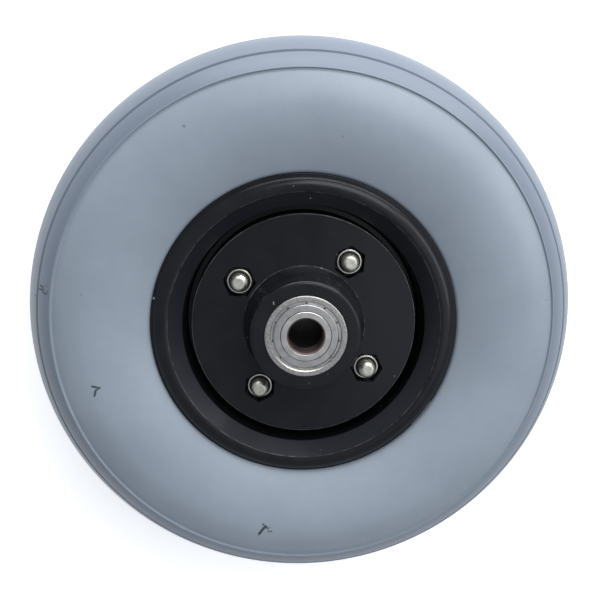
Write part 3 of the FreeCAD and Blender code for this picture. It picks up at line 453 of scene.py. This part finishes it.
def moulded_nylon():
    """Glass-filled nylon, injection moulded: black, half gloss, with a fine pebbled skin, pale lines of painted
    highlight on its edges, partly a burr on the trimmed disc, chips, painted shade in the ring channel, a paler
    painted light in the dish, and specks."""
    made, tree, place = new_material("glass-filled nylon, moulded", IOR=1.53, Specular_IOR_Level=0.27)
    radius, height = ring_place(tree, place)
    clouds = add(tree, "ShaderNodeTexNoise", {"Vector": place, "Scale": per_mm(9), "Detail": 3.0, "Roughness": 0.6})
    patchy = add(tree, "ShaderNodeTexNoise", {"Vector": place, "Scale": per_mm(6), "Detail": 3.0, "Roughness": 0.7})
    base = mottled(tree, clouds, NOISE_LOW, NOISE_HIGH, colour("#17181B"), colour("#1D1E21"))
    # painted shade, near black, in the ring channel, and a paler tone painted as light in the dish
    for low, high, side, tone in RIM_PAINTED_SHADE_AND_LIGHT:
        middle, half = (low + high) / 2 * MM, (high - low) / 2 * MM
        ring = add(tree, "ShaderNodeMath", {0: radius, 1: middle, 2: half}, operation="COMPARE")
        level = add(tree, "ShaderNodeMath", {0: height, 1: (CHANNEL_MOUTH - 0.3) * MM}, operation=side)
        shade_and_light_band = add(tree, "ShaderNodeMath", {0: ring, 1: level}, operation="MULTIPLY")
        base = add(tree, "ShaderNodeMix", {"Factor": shade_and_light_band, "A": base, "B": colour(tone)}, data_type="RGBA")
    # specks of dust: one at most in each 3.5 mm cell, more of them on the boss than further out
    cell = add(tree, "ShaderNodeTexVoronoi", {"Vector": place, "Scale": per_mm(3.5)})
    chance = add(tree, "ShaderNodeSeparateColor", {"Color": cell.outputs["Color"]})
    rarity = add(tree, "ShaderNodeMapRange", {"Value": radius, "From Min": 18 * MM, "From Max": 30 * MM,
                                              "To Min": 0.45, "To Max": 0.82})
    size = add(tree, "ShaderNodeMapRange", {"Value": chance.outputs["Red"], "From Min": rarity, "From Max": 1.0,
                                            "To Max": 0.085})
    speck = add(tree, "ShaderNodeMath", {0: cell.outputs["Distance"], 1: size}, operation="LESS_THAN")
    pale = add(tree, "ShaderNodeMath", {0: speck, 1: chance.outputs["Green"]}, operation="MULTIPLY")
    # pale lines painted as highlights on the disc's edge, the flare's foot and the lip's foot
    for at, lowest, start, least, most in RIM_PAINTED_HIGHLIGHTS:
        line = ring_mask(tree, radius, height, at, lowest)
        share = add(tree, "ShaderNodeMapRange", {"Value": patchy, "From Min": start, "From Max": 0.6,
                                                 "To Min": least, "To Max": most})
        line = add(tree, "ShaderNodeMath", {0: line, 1: share}, operation="MULTIPLY")
        pale = add(tree, "ShaderNodeMath", {0: pale, 1: line}, operation="MAXIMUM")
    pale = add(tree, "ShaderNodeMath", {0: pale, 1: strokes(tree, place, CHIPS)}, operation="MAXIMUM")
    # pale specks and chips, together with the painted highlights of the edge lines
    base = add(tree, "ShaderNodeMix", {"Factor": pale, "A": base, "B": colour("#9A9DA2")}, data_type="RGBA")
    gloss = add(tree, "ShaderNodeMapRange", {"Value": clouds, "From Min": NOISE_LOW, "From Max": NOISE_HIGH,
                                             "To Min": 0.2, "To Max": 0.27})
    # the pebbled skin is about 0.2 mm and wouldn't show, so it is drawn at 0.55 mm
    pebbles = add(tree, "ShaderNodeTexNoise", {"Vector": place, "Scale": per_mm(0.55)})
    sinks = add(tree, "ShaderNodeTexNoise", {"Vector": place, "Scale": per_mm(12), "Detail": 1.0})
    relief = add(tree, "ShaderNodeMath", {0: sinks, 1: 4.0, 2: pebbles}, operation="MULTIPLY_ADD")
    finish_with(tree, base, gloss, relief, 0.15, 0.06)
    return made


def metal(name, pale, dark, rough, grain_mm, relief, spread_mm, turned=False, stain_and_shade=None):
    """A bare or plated metal whose colour and gloss vary a little. Turning leaves fine rings on it. A
    stain_and_shade, a colour and the radius inside which it lies, is a dull crust that isn't metal: rust on the
    ground rings, painted shade on the tube."""
    made, tree, place = new_material(name, Metallic=1.0)
    radius, height = ring_place(tree, place)
    clouds = add(tree, "ShaderNodeTexNoise", {"Vector": place, "Scale": per_mm(spread_mm), "Detail": 3.0,
                                              "Roughness": 0.6})
    base = mottled(tree, clouds, NOISE_LOW, NOISE_HIGH, colour(dark), colour(pale))
    if stain_and_shade:
        crust, reach = stain_and_shade
        inside = add(tree, "ShaderNodeMapRange", {"Value": radius, "From Min": (reach - 0.15) * MM,
                                                  "From Max": (reach + 0.1) * MM, "To Min": 1.0, "To Max": 0.0})
        base = add(tree, "ShaderNodeMix", {"Factor": inside, "A": base, "B": colour(crust)}, data_type="RGBA")
        bare = add(tree, "ShaderNodeMath", {0: 1.0, 1: inside}, operation="SUBTRACT")
        tree.links.new(bare.outputs[0], tree.nodes["Principled BSDF"].inputs["Metallic"])
    gloss = add(tree, "ShaderNodeMapRange", {"Value": clouds, "From Min": NOISE_LOW, "From Max": NOISE_HIGH,
                                             "To Min": rough[0], "To Max": rough[1]})
    rings = add(tree, "ShaderNodeCombineXYZ", {"X": radius, "Z": height})
    grain = add(tree, "ShaderNodeTexNoise", {"Vector": rings.outputs[0] if turned else place,
                                             "Scale": per_mm(grain_mm), "Roughness": 0.6})
    finish_with(tree, base, gloss, grain, relief, 0.03)
    return made


def nylon_insert():
    """Nylon washer, pressed into the nut: dull and nearly black, darker in patches."""
    made, tree, place = new_material("nylon, pressed in", IOR=1.53)
    patches = add(tree, "ShaderNodeTexNoise", {"Vector": place, "Scale": per_mm(1.2), "Roughness": 0.6})
    base = mottled(tree, patches, NOISE_LOW, NOISE_HIGH, colour("#0D0E11"), colour("#1E1F23"))
    gloss = add(tree, "ShaderNodeMapRange", {"Value": patches, "To Min": 0.45, "To Max": 0.6})
    finish_with(tree, base, gloss, patches, 0.3, 0.05)
    return made


def white_card():
    """Matt white card on a light table under the wheel, with a faint tooth."""
    made, tree, place = new_material("card, matt white", Specular_IOR_Level=0.1, Emission_Strength=0.5,
                                     Emission_Color=colour("#FFFFFF"))
    tooth = add(tree, "ShaderNodeTexNoise", {"Vector": place, "Scale": per_mm(2)})
    base = mottled(tree, tooth, NOISE_LOW, NOISE_HIGH, colour("#F7F7F7"), colour("#FBFBFB"))
    gloss = add(tree, "ShaderNodeMapRange", {"Value": tooth, "To Min": 0.85, "To Max": 0.95})
    finish_with(tree, base, gloss, tooth, 0.1, 0.05)
    return made


FOAM = foam_skin()
NYLON = moulded_nylon()
INSERT = nylon_insert()

# Metals: the paler and the darker colour, the range of roughness, the grain in millimetres and how strong it
# is, and the size of the clouds in millimetres. Grain finer than 0.1 mm wouldn't show, so it is drawn coarser.

# Bright nickel plate on cold-formed steel: clean mirror-like faces, softened by forming marks
PLATED = metal("steel, nickel plated", "#EDEBE3", "#D2CFC4", (0.24, 0.36), 0.6, 0.3, 2.0)
# Zinc plate on cold-formed bolts: a pale yellow-green satin
ZINCED = metal("steel, zinc plated", "#ECEADC", "#D2D0BF", (0.36, 0.48), 0.5, 0.3, 1.2)
# Bearing steel, turned and ground: grey with fine rings round the bore, and rusty in the bore's mouth
GROUND = metal("bearing steel, ground", "#DDDAD4", "#CAC7C2", (0.32, 0.44), 0.12, 0.3, 3.0, turned=True,
               stain_and_shade=("#584642", 6.55))
# Bearing steel, tumbled: a warm grainy grey, with dirt pressed into it
TUMBLED = metal("bearing steel, tumbled", "#CFCCC6", "#A19E98", (0.36, 0.5), 0.5, 0.5, 0.7)
# Thin sheet steel, pressed and zinc coated: satin, a little darker than the ground rings
SHEET = metal("sheet steel, pressed and coated", "#CECCC8", "#BEBCB9", (0.3, 0.42), 0.25, 0.25, 3.0, turned=True)
# Bearing steel balls, lapped to a mirror
LAPPED = metal("bearing steel, lapped", "#CFCFCE", "#BDBDBC", (0.05, 0.09), 1.0, 0.05, 2.0)
# Steel strip, cold pressed: satin with faint draw marks
STRIP = metal("steel strip, cold pressed", "#B3AFA8", "#928E87", (0.3, 0.4), 0.3, 0.3, 1.5)
# Drawn steel tube, left plain: painted nearly black all over, as painted shade deep in the bore
TUBE_IN_PAINTED_SHADE = metal("steel tube, cold drawn", "#121110", "#0B0A0A", (0.7, 0.85), 0.4, 0.4, 3.0, stain_and_shade=("#0D0C0B", 7.0))


# Pieces

def fitted(piece, body, slot, material, *nodes, sharp=35.0):
    """Shades a finished piece, gives it its material, and puts it in place of its CAD nodes."""
    piece.data.materials.clear()
    piece.data.materials.append(material)
    piece.data.shade_smooth()
    piece.data.set_sharp_from_angle(angle=math.radians(sharp))
    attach(piece, body)
    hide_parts(*nodes)


def make_tyre():
    """Solid tyre with a tread band that stands proud of the sidewalls, a groove and rolled beads."""
    bore, mouth = BARREL_RADIUS + TYRE_GAP, FLANGE_RADIUS + TYRE_GAP
    crown = TYRE_RADIUS - TREAD_ROUND
    top = math.sqrt(TREAD_ROUND ** 2 - (SHOULDER_RADIUS - crown) ** 2)
    foot = top - SHOULDER_STEP

    def climb(run, rise):
        """The radius of an arc that is level at its top, by how far it runs and falls."""
        return (run ** 2 + rise ** 2) / (2 * rise)

    # the groove is square to the tread's round: out and up are the parts of that direction
    out = (GROOVE_RADIUS - crown) / TREAD_ROUND
    up = math.sqrt(1 - out ** 2)
    lip = [(GROOVE_RADIUS + side * up * GROOVE_WIDTH / 2, TREAD_ROUND * up - side * out * GROOVE_WIDTH / 2)
           for side in (1, -1)]
    floor = (GROOVE_RADIUS - out * GROOVE_DEPTH, TREAD_ROUND * up - up * GROOVE_DEPTH)
    half = [
        corner(*lip[0], 0.3), corner(*floor, 0.12), corner(*lip[1], 0.3, -TREAD_ROUND),
        corner(SHOULDER_RADIUS, top, 0.25), corner(SHOULDER_RADIUS, foot, 0.3,
                                                  -climb(SHOULDER_RADIUS - WIDEST_RADIUS, TYRE_HALF_WIDTH - foot)),
        corner(WIDEST_RADIUS, TYRE_HALF_WIDTH, 0, -climb(WIDEST_RADIUS - mouth, TYRE_HALF_WIDTH - BEAD_HEIGHT)),
        corner(mouth, BEAD_HEIGHT, BEAD_ROUND), corner(mouth, FLANGE_HEIGHT - TYRE_GAP),
        corner(bore, BARREL_HEIGHT - TYRE_GAP, BARREL_ROUND),
    ]
    # the other half runs back up, and there each edge's arc belongs to the corner at its other end
    back = []
    for i in reversed(range(len(half))):
        radius, height, rounding, _ = half[i]
        arc = half[i - 1][3] if i else -TREAD_ROUND
        back.append(corner(radius, -height, rounding, arc))
    rows = section([corner(TYRE_RADIUS, 0, 0, -TREAD_ROUND)] + half + back, step=1.6)
    fitted(spun("tyre_moulding", rows), "wheel", "tyre", FOAM, "tyre")


def make_rims():
    """Two like rim halves: a cored back with ribs and bolt bosses, and in front the hub boss, the disc
    with its hexagon pockets, the ring channel, the dished flange and the rounded lip."""
    rows = section([
        corner(SHOULDER_BORE, 0), corner(CORE_INNER, 0), corner(CORE_INNER + CORE_DRAFT, CORE_HEIGHT),
        corner(CORE_OUTER - CORE_DRAFT, CORE_HEIGHT), corner(CORE_OUTER, 0), corner(BARREL_RADIUS, 0),
        corner(BARREL_RADIUS, BARREL_HEIGHT, BARREL_ROUND), corner(FLANGE_RADIUS, FLANGE_HEIGHT),
        corner(FLANGE_RADIUS, LEDGE_HEIGHT, LEDGE_ROUND), corner(LIP_RADIUS, LEDGE_HEIGHT, 0.1),
        corner(LIP_RADIUS, LIP_EDGE_HEIGHT, 0.2, -LIP_ROUND), corner(LIP_FOOT_RADIUS, LIP_FOOT_HEIGHT, 0.5),
        corner(CHANNEL_OUTER, CHANNEL_MOUTH, CHANNEL_ROUND),
        corner(CHANNEL_OUTER - CHANNEL_DRAFT, CHANNEL_FLOOR, CHANNEL_ROUND),
        corner(DISC_RADIUS + CHANNEL_DRAFT, CHANNEL_FLOOR, CHANNEL_ROUND),
        corner(DISC_RADIUS, DISC_HEIGHT, DISC_ROUND), corner(FLARE_FOOT, DISC_HEIGHT, 0.3),
        corner(BOSS_SIDE, FLARE_HEIGHT, FLARE_ROUND), corner(BOSS_TOP, BOSS_HEIGHT, BOSS_TOP_ROUND),
        corner(SEAT_RADIUS + SEAT_CHAMFER, BOSS_HEIGHT, 0.05), corner(SEAT_RADIUS, BOSS_HEIGHT - SEAT_CHAMFER),
        corner(SEAT_RADIUS, SEAT_FLOOR), corner(SHOULDER_BORE, SEAT_FLOOR),
    ])
    rim = spun("rim_front_moulding", rows)
    # ribs and bosses reach a little into the walls round them
    start, end, side = CORE_INNER - RIB_ROOT, CORE_OUTER + RIB_ROOT, RIB_WIDTH / 2
    rib = prism("ribs", [(start, -side), (end, -side), (end, side), (start, side)], 0, CORE_HEIGHT + RIB_ROOT)
    combined(rim, "UNION", repeated(rib, RIB_COUNT))
    boss = prism("bosses", circle_outline(BOLT_CIRCLE, BOLT_BOSS_RADIUS, steps=48), 0, CORE_HEIGHT + RIB_ROOT)
    combined(rim, "UNION", repeated(boss, BOLT_COUNT))
    hole = prism("holes", circle_outline(BOLT_CIRCLE, BOLT_HOLE, steps=32), -1, NUT_SEAT + 0.1)
    combined(rim, "DIFFERENCE", repeated(hole, BOLT_COUNT))
    seat = prism("pockets", hexagon_outline(BOLT_CIRCLE, POCKET_FLATS), NUT_SEAT, DISC_HEIGHT + 1)
    combined(rim, "DIFFERENCE", repeated(seat, BOLT_COUNT))
    close_up(rim)
    rear = mirrored_copy(rim, "rim_rear_moulding")
    fitted(rim, "wheel", "rim_plastic", NYLON, "rim_front")
    fitted(rear, "wheel", "rim_plastic", NYLON, "rim_rear")


def thread_row(height, low, high):
    """A row of the bolt's shank, cut by a thread that fades out at both ends."""
    fade = max(0.0, min(1.0, (height - low) / THREAD_PITCH, (high - height) / THREAD_FADE))

    def row(angle):
        phase = (height / THREAD_PITCH - angle / TURN) % 1
        # full depth in the middle of the pitch, steep flanks, and nothing at the crest
        cut = min(1.0, max(0.0, 1.6 - 2.5 * abs(2 * phase - 1)))
        return BOLT_RADIUS - THREAD_DEPTH * cut * fade, height
    return row


def make_fasteners():
    """Four hexagon bolts with threaded ends, their lock nuts, and the nuts' locking rings."""
    slope = math.tan(math.radians(HEX_CHAMFER_DEGREES))
    inner = HEX_FLATS / 2 - HEX_CORNER_CUT
    head_low, head_high = -NUT_SEAT - HEAD_HEIGHT, -NUT_SEAT
    rows = [
        (0, head_low + RECESS_DEPTH), (RECESS_FLOOR, head_low + RECESS_DEPTH), (RECESS_EDGE, head_low),
        (inner, head_low),
        lambda angle: (hex_reach(angle), head_low + (hex_reach(angle) - inner) * slope),
        lambda angle: (hex_reach(angle), head_high),
        (BOLT_RADIUS, head_high),
    ]
    # eight rows to a pitch, and a quarter of them on the plain shank
    step, shank_top, tip_radius = THREAD_PITCH / 8, BOLT_TIP - TIP_CHAMFER, BOLT_RADIUS - TIP_CHAMFER
    for i in range(1, int((shank_top - head_high) / step)):
        height = head_high + i * step
        if i % 4 == 0 or height > THREAD_START:
            rows.append(thread_row(height, THREAD_START, shank_top + THREAD_RUNOUT))
    rows += [
        (BOLT_RADIUS - CHAMFER_EASE, shank_top), (tip_radius + TIP_EASE, BOLT_TIP - TIP_EASE),
        (tip_radius - TIP_RIM, BOLT_TIP), (TIP_HOLLOW_RADIUS, BOLT_TIP - TIP_HOLLOW_DEPTH),
        (0, BOLT_TIP - TIP_HOLLOW_DEPTH),
    ]
    bolt = spun("bolts_threaded", rows, angles=48, middle=BOLT_CIRCLE, closed=False)
    fitted(repeated(bolt, BOLT_COUNT, ZINCED), "wheel", "plated_steel", ZINCED, "bolts", sharp=50)

    collar = section([
        corner(NUT_BORE, INSERT_FLOOR), corner(NUT_BORE, NUT_SEAT), corner(HEX_FLATS / 2, NUT_SEAT),
        corner(HEX_FLATS / 2, NUT_HEX_TOP), corner(COLLAR_RADIUS, NUT_HEX_TOP - 0.02),
        corner(COLLAR_RADIUS, NUT_TOP, COLLAR_ROUND), corner(MOUTH_RADIUS, NUT_TOP, 0.12),
        corner(MOUTH_RADIUS, NUT_TOP - COLLAR_WALL), corner(COLLAR_RADIUS - COLLAR_WALL, NUT_TOP - COLLAR_WALL),
        corner(COLLAR_RADIUS - COLLAR_WALL, INSERT_FLOOR),
    ])
    shaped = []
    for radius, height in collar:
        if abs(radius - HEX_FLATS / 2) < 1e-6:
            shaped.append(lambda angle, height=height: (
                hex_reach(angle), min(height, NUT_HEX_TOP - (hex_reach(angle) - inner) * slope)))
        else:
            shaped.append((radius, height))
    nut = spun("nuts_locking", shaped, angles=96, middle=BOLT_CIRCLE)
    fitted(repeated(nut, BOLT_COUNT, PLATED), "wheel", "plated_steel", PLATED, "nuts")

    washer = section([
        corner(NUT_BORE, INSERT_FLOOR), corner(INSERT_RADIUS, INSERT_FLOOR), corner(INSERT_RADIUS, INSERT_TOP),
        corner(NUT_BORE, INSERT_TOP, INSERT_ROUND),
    ])
    insert = spun("nut_inserts_moulded", washer, angles=64, middle=BOLT_CIRCLE)
    fitted(repeated(insert, BOLT_COUNT, INSERT), "wheel", "insert_nylon", INSERT, "nut_inserts")


def both_ends(upper, race):
    """A ring's section: its upper corners, the same below, and the ball race."""
    lower = [corner(radius, -height, rounding) for radius, height, rounding, _ in reversed(upper)]
    lower[-1] = corner(*lower[-1][:3], race)
    return section(upper + lower)


def lifted(rows, side):
    """Puts a bearing's rows at its own height on the axle line."""
    return [(radius, side * (BEARING_MIDDLE + height)) for radius, height in rows]


def make_bearings():
    """Both bearings' rings and outer shields."""
    outer = both_ends([
        corner(OUTER_LAND, RACE_EDGE), corner(OUTER_LAND, SHIELD_SEAT), corner(SHIELD_SEAT_RADIUS, SHIELD_SEAT),
        corner(SHIELD_SEAT_RADIUS, RING_FACE - MOUTH_CHAMFER, 0.05),
        corner(SHIELD_SEAT_RADIUS + MOUTH_CHAMFER, RING_FACE, 0.08), corner(RING_RADIUS, RING_FACE, RING_EDGE_ROUND),
    ], -RACE_ROUND)
    inner = both_ends([
        corner(INNER_LAND, RACE_EDGE), corner(INNER_LAND, RING_FACE - LAND_CHAMFER),
        corner(INNER_LAND - LAND_CHAMFER, RING_FACE, 0.05), corner(BORE_RADIUS + BORE_CHAMFER, RING_FACE, 0.08),
        corner(BORE_RADIUS, RING_FACE - BORE_CHAMFER, 0.08),
    ], RACE_ROUND)
    foot = SHIELD_BEAD + SHIELD_BEAD_SLOPE
    shield = section([
        corner(SHIELD_HOLE, SHIELD_TOP - SHIELD_WALL), corner(SHIELD_BEAD - 0.15, SHIELD_TOP - SHIELD_WALL, 0.1),
        corner(foot - 0.15, SHIELD_SEAT, 0.1), corner(SHIELD_EDGE, SHIELD_SEAT),
        corner(SHIELD_EDGE, SHIELD_SEAT + SHIELD_WALL, 0.08), corner(foot, SHIELD_SEAT + SHIELD_WALL, 0.12),
        corner(SHIELD_BEAD, SHIELD_TOP, 0.15), corner(SHIELD_HOLE, SHIELD_TOP, 0.05),
    ], hold=0.06)
    # one sector of the shield, with close steps at the notch's two sides and wider ones past them
    half = math.asin(NOTCH_WIDTH / 2 / SHIELD_EDGE)
    sector = math.pi / NOTCH_COUNT
    fine = list(np.linspace(half * 1.08, sector, 12))
    angles = [-a for a in reversed(fine)] + [-half, 0.0, half] + fine

    def notched(radius, height):
        """A row that is drawn in at the notch."""
        cut = min(radius, SHIELD_EDGE - NOTCH_DEPTH)
        return lambda angle: (cut if abs(angle) < half * 1.01 else radius, height)

    for name, side in (("front", 1), ("rear", -1)):
        ring = spun(f"outer_ring_{name}_ground", lifted(outer, side), angles=192)
        fitted(ring, "wheel", "bearing_steel", TUMBLED, f"outer_ring_{name}")
        ring = spun(f"inner_ring_{name}_ground", lifted(inner, side), angles=160)
        fitted(ring, "axle_sleeve", "bearing_steel", GROUND, f"inner_ring_{name}")
        rows = [notched(*row) for row in lifted(shield, side)]
        piece = repeated(spun(f"shield_{name}_pressed", rows, angles), NOTCH_COUNT, SHEET, side * NOTCH_ANGLE)
        fitted(piece, "wheel", "shield_steel", SHEET, f"shield_{name}_outer")


def dress_hidden_nodes():
    """Gives the CAD nodes that stay, inside the bearings and the hub, their own finishes."""
    finishes = {"ball_steel": LAPPED, "cage_steel": STRIP, "shield_steel": SHEET, "spacer_steel": TUBE_IN_PAINTED_SHADE}
    slots = {part["node"]: part["material_slot"] for part in frame["record"]["subparts"]}
    for name, node in frame["nodes"].items():
        if not node.hide_render:
            node.data.materials.clear()
            node.data.materials.append(finishes[slots[name]])


# Floor, light and camera

# The lamps, which all face the wheel: place, width and height in metres, and power in watts
LAMPS = {
    "window": ((-0.103, 0.610, 0.786), 0.6, 0.5, 3.5),
    "side_card": ((0.408, 0.273, 0.871), 0.8, 0.8, 1.0),
    "side_window": ((0.510, 0.615, 0.602), 0.7, 0.3, 1.8),
    "low_window": ((-0.374, 0.901, 0.219), 1.5, 0.32, 10.0),
}
LAMP_TINT, ROOM_TINT, ROOM_STRENGTH = "#F8FAFF", "#EAF1FF", 0.38

FLOOR_REACH, FLOOR_HEIGHT = 3000.0, -30.0

# The camera as fitted to the photo's circles: where it is, its lens and frame, and the picture's directions
CAMERA_PLACE, CAMERA_LENS, CAMERA_FRAME = (-41.753, 41.170, 238.679), 38.74, 36.0
CAMERA_RIGHT, CAMERA_UP = (0.81635, 0.57617, 0.03992), (-0.55680, 0.80350, -0.21065)


def make_floor():
    """The white card that the wheel lies on."""
    corners = [(x * FLOOR_REACH, y * FLOOR_REACH, FLOOR_HEIGHT) for x, y in ((-1, -1), (1, -1), (1, 1), (-1, 1))]
    floor = new_piece("floor_card", corners, [(0, 1, 2, 3)])
    floor.data.materials.append(white_card())


def make_light():
    """Even daylight from all sides, a small window over the wheel to the picture's upper right, a broad low
    window at its top, and a dim card and a dim low window at its right."""
    world = bpy.data.worlds.new("soft_room")
    world.use_nodes = True
    sky = world.node_tree.nodes["Background"]
    sky.inputs["Color"].default_value = colour(ROOM_TINT)
    sky.inputs["Strength"].default_value = ROOM_STRENGTH
    bpy.context.scene.world = world
    for name, (place, width, height, watts) in LAMPS.items():
        light = bpy.data.lights.new(name, "AREA")
        light.shape, light.size, light.size_y = "RECTANGLE", width, height
        light.energy, light.color = watts, colour(LAMP_TINT)[:3]
        lamp = bpy.data.objects.new(name, light)
        bpy.context.scene.collection.objects.link(lamp)
        lamp.location = place
        lamp.rotation_euler = (-Vector(place)).to_track_quat("-Z", "Y").to_euler()


def make_camera():
    """The photograph's camera, 246 mm from the wheel's middle."""
    camera = bpy.data.objects.new("camera", bpy.data.cameras.new("camera"))
    bpy.context.scene.collection.objects.link(camera)
    right, up = Vector(CAMERA_RIGHT), Vector(CAMERA_UP)
    aim = Matrix((right, up, right.cross(up))).transposed().to_4x4()
    camera.matrix_world = Matrix.Translation(Vector(CAMERA_PLACE) * MM) @ aim
    camera.data.lens, camera.data.sensor_width = CAMERA_LENS, CAMERA_FRAME
    camera.data.clip_start, camera.data.clip_end = 0.01, 20.0
    bpy.context.scene.camera = camera


make_tyre()
make_rims()
make_fasteners()
make_bearings()
dress_hidden_nodes()
make_floor()
make_light()
make_camera()
bpy.context.scene.view_settings.view_transform = "Standard"
